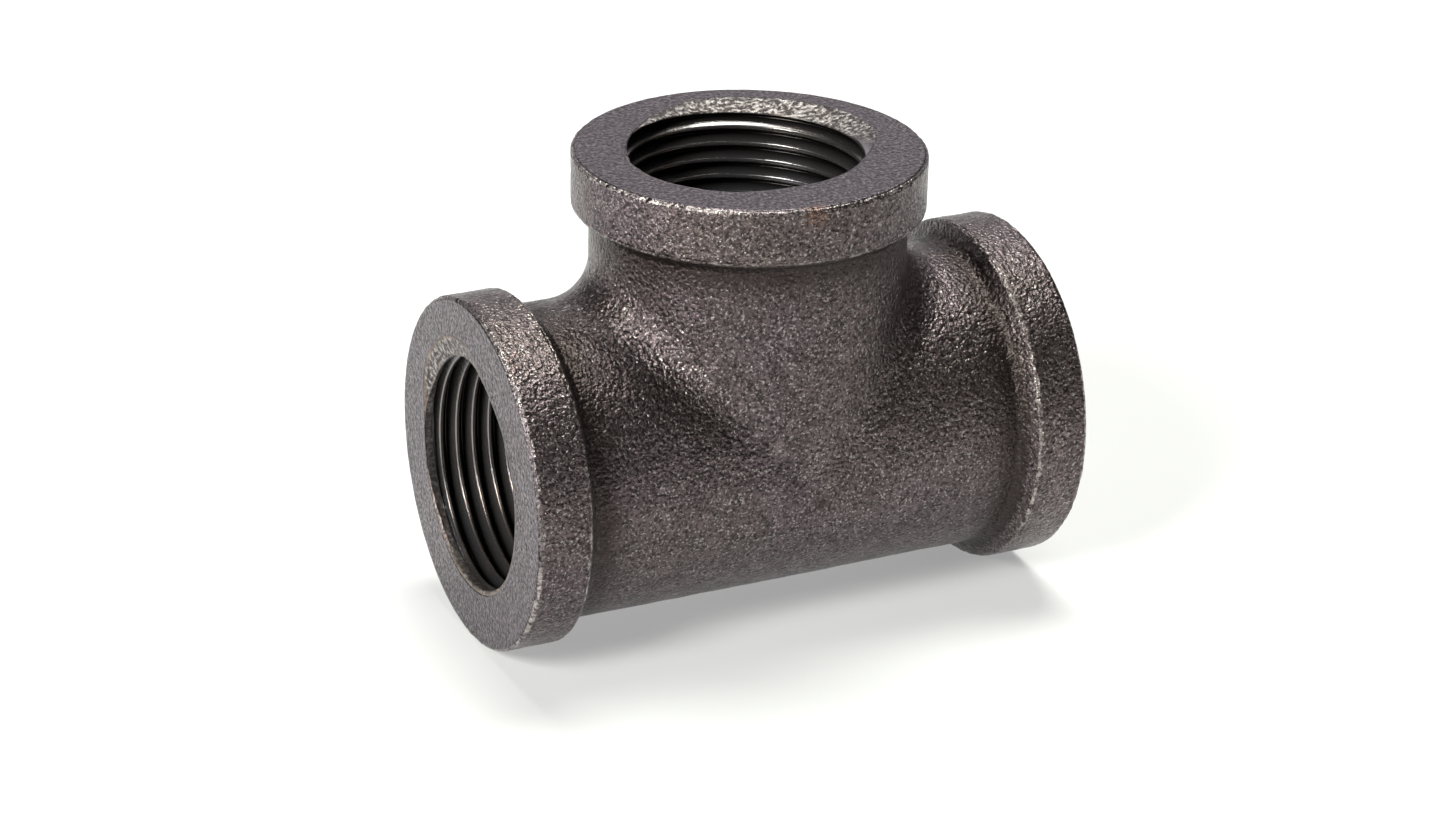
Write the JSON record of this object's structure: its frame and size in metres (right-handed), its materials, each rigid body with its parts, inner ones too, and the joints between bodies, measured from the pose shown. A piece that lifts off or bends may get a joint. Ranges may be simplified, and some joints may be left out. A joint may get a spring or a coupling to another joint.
{
  "type": "pipe tee",
  "caption": "Cast iron pipe tee: a straight run with a branch at right angles, and a raised band round each tapped outlet.",
  "frame": {"origin": "where the centre line of the run and the centre line of the branch cross", "axes": "+X along the run, towards its right outlet; +Z along the branch, towards its outlet; +Y away from the viewer"},
  "size_m": [0.0762, 0.0454, 0.0608],
  "materials": {
    "cast_skin": "as-cast black malleable iron, sand texture, lightly oiled",
    "cut_thread": "tapped iron, satin, darkened by cutting oil"
  },
  "bodies": {
    "root": {"run_barrel": "cast_skin", "branch_neck": "cast_skin", "left_band": "cast_skin", "right_band": "cast_skin", "branch_band": "cast_skin", "left_socket": "cut_thread", "right_socket": "cut_thread", "branch_socket": "cut_thread"}
  },
  "joints": []
}
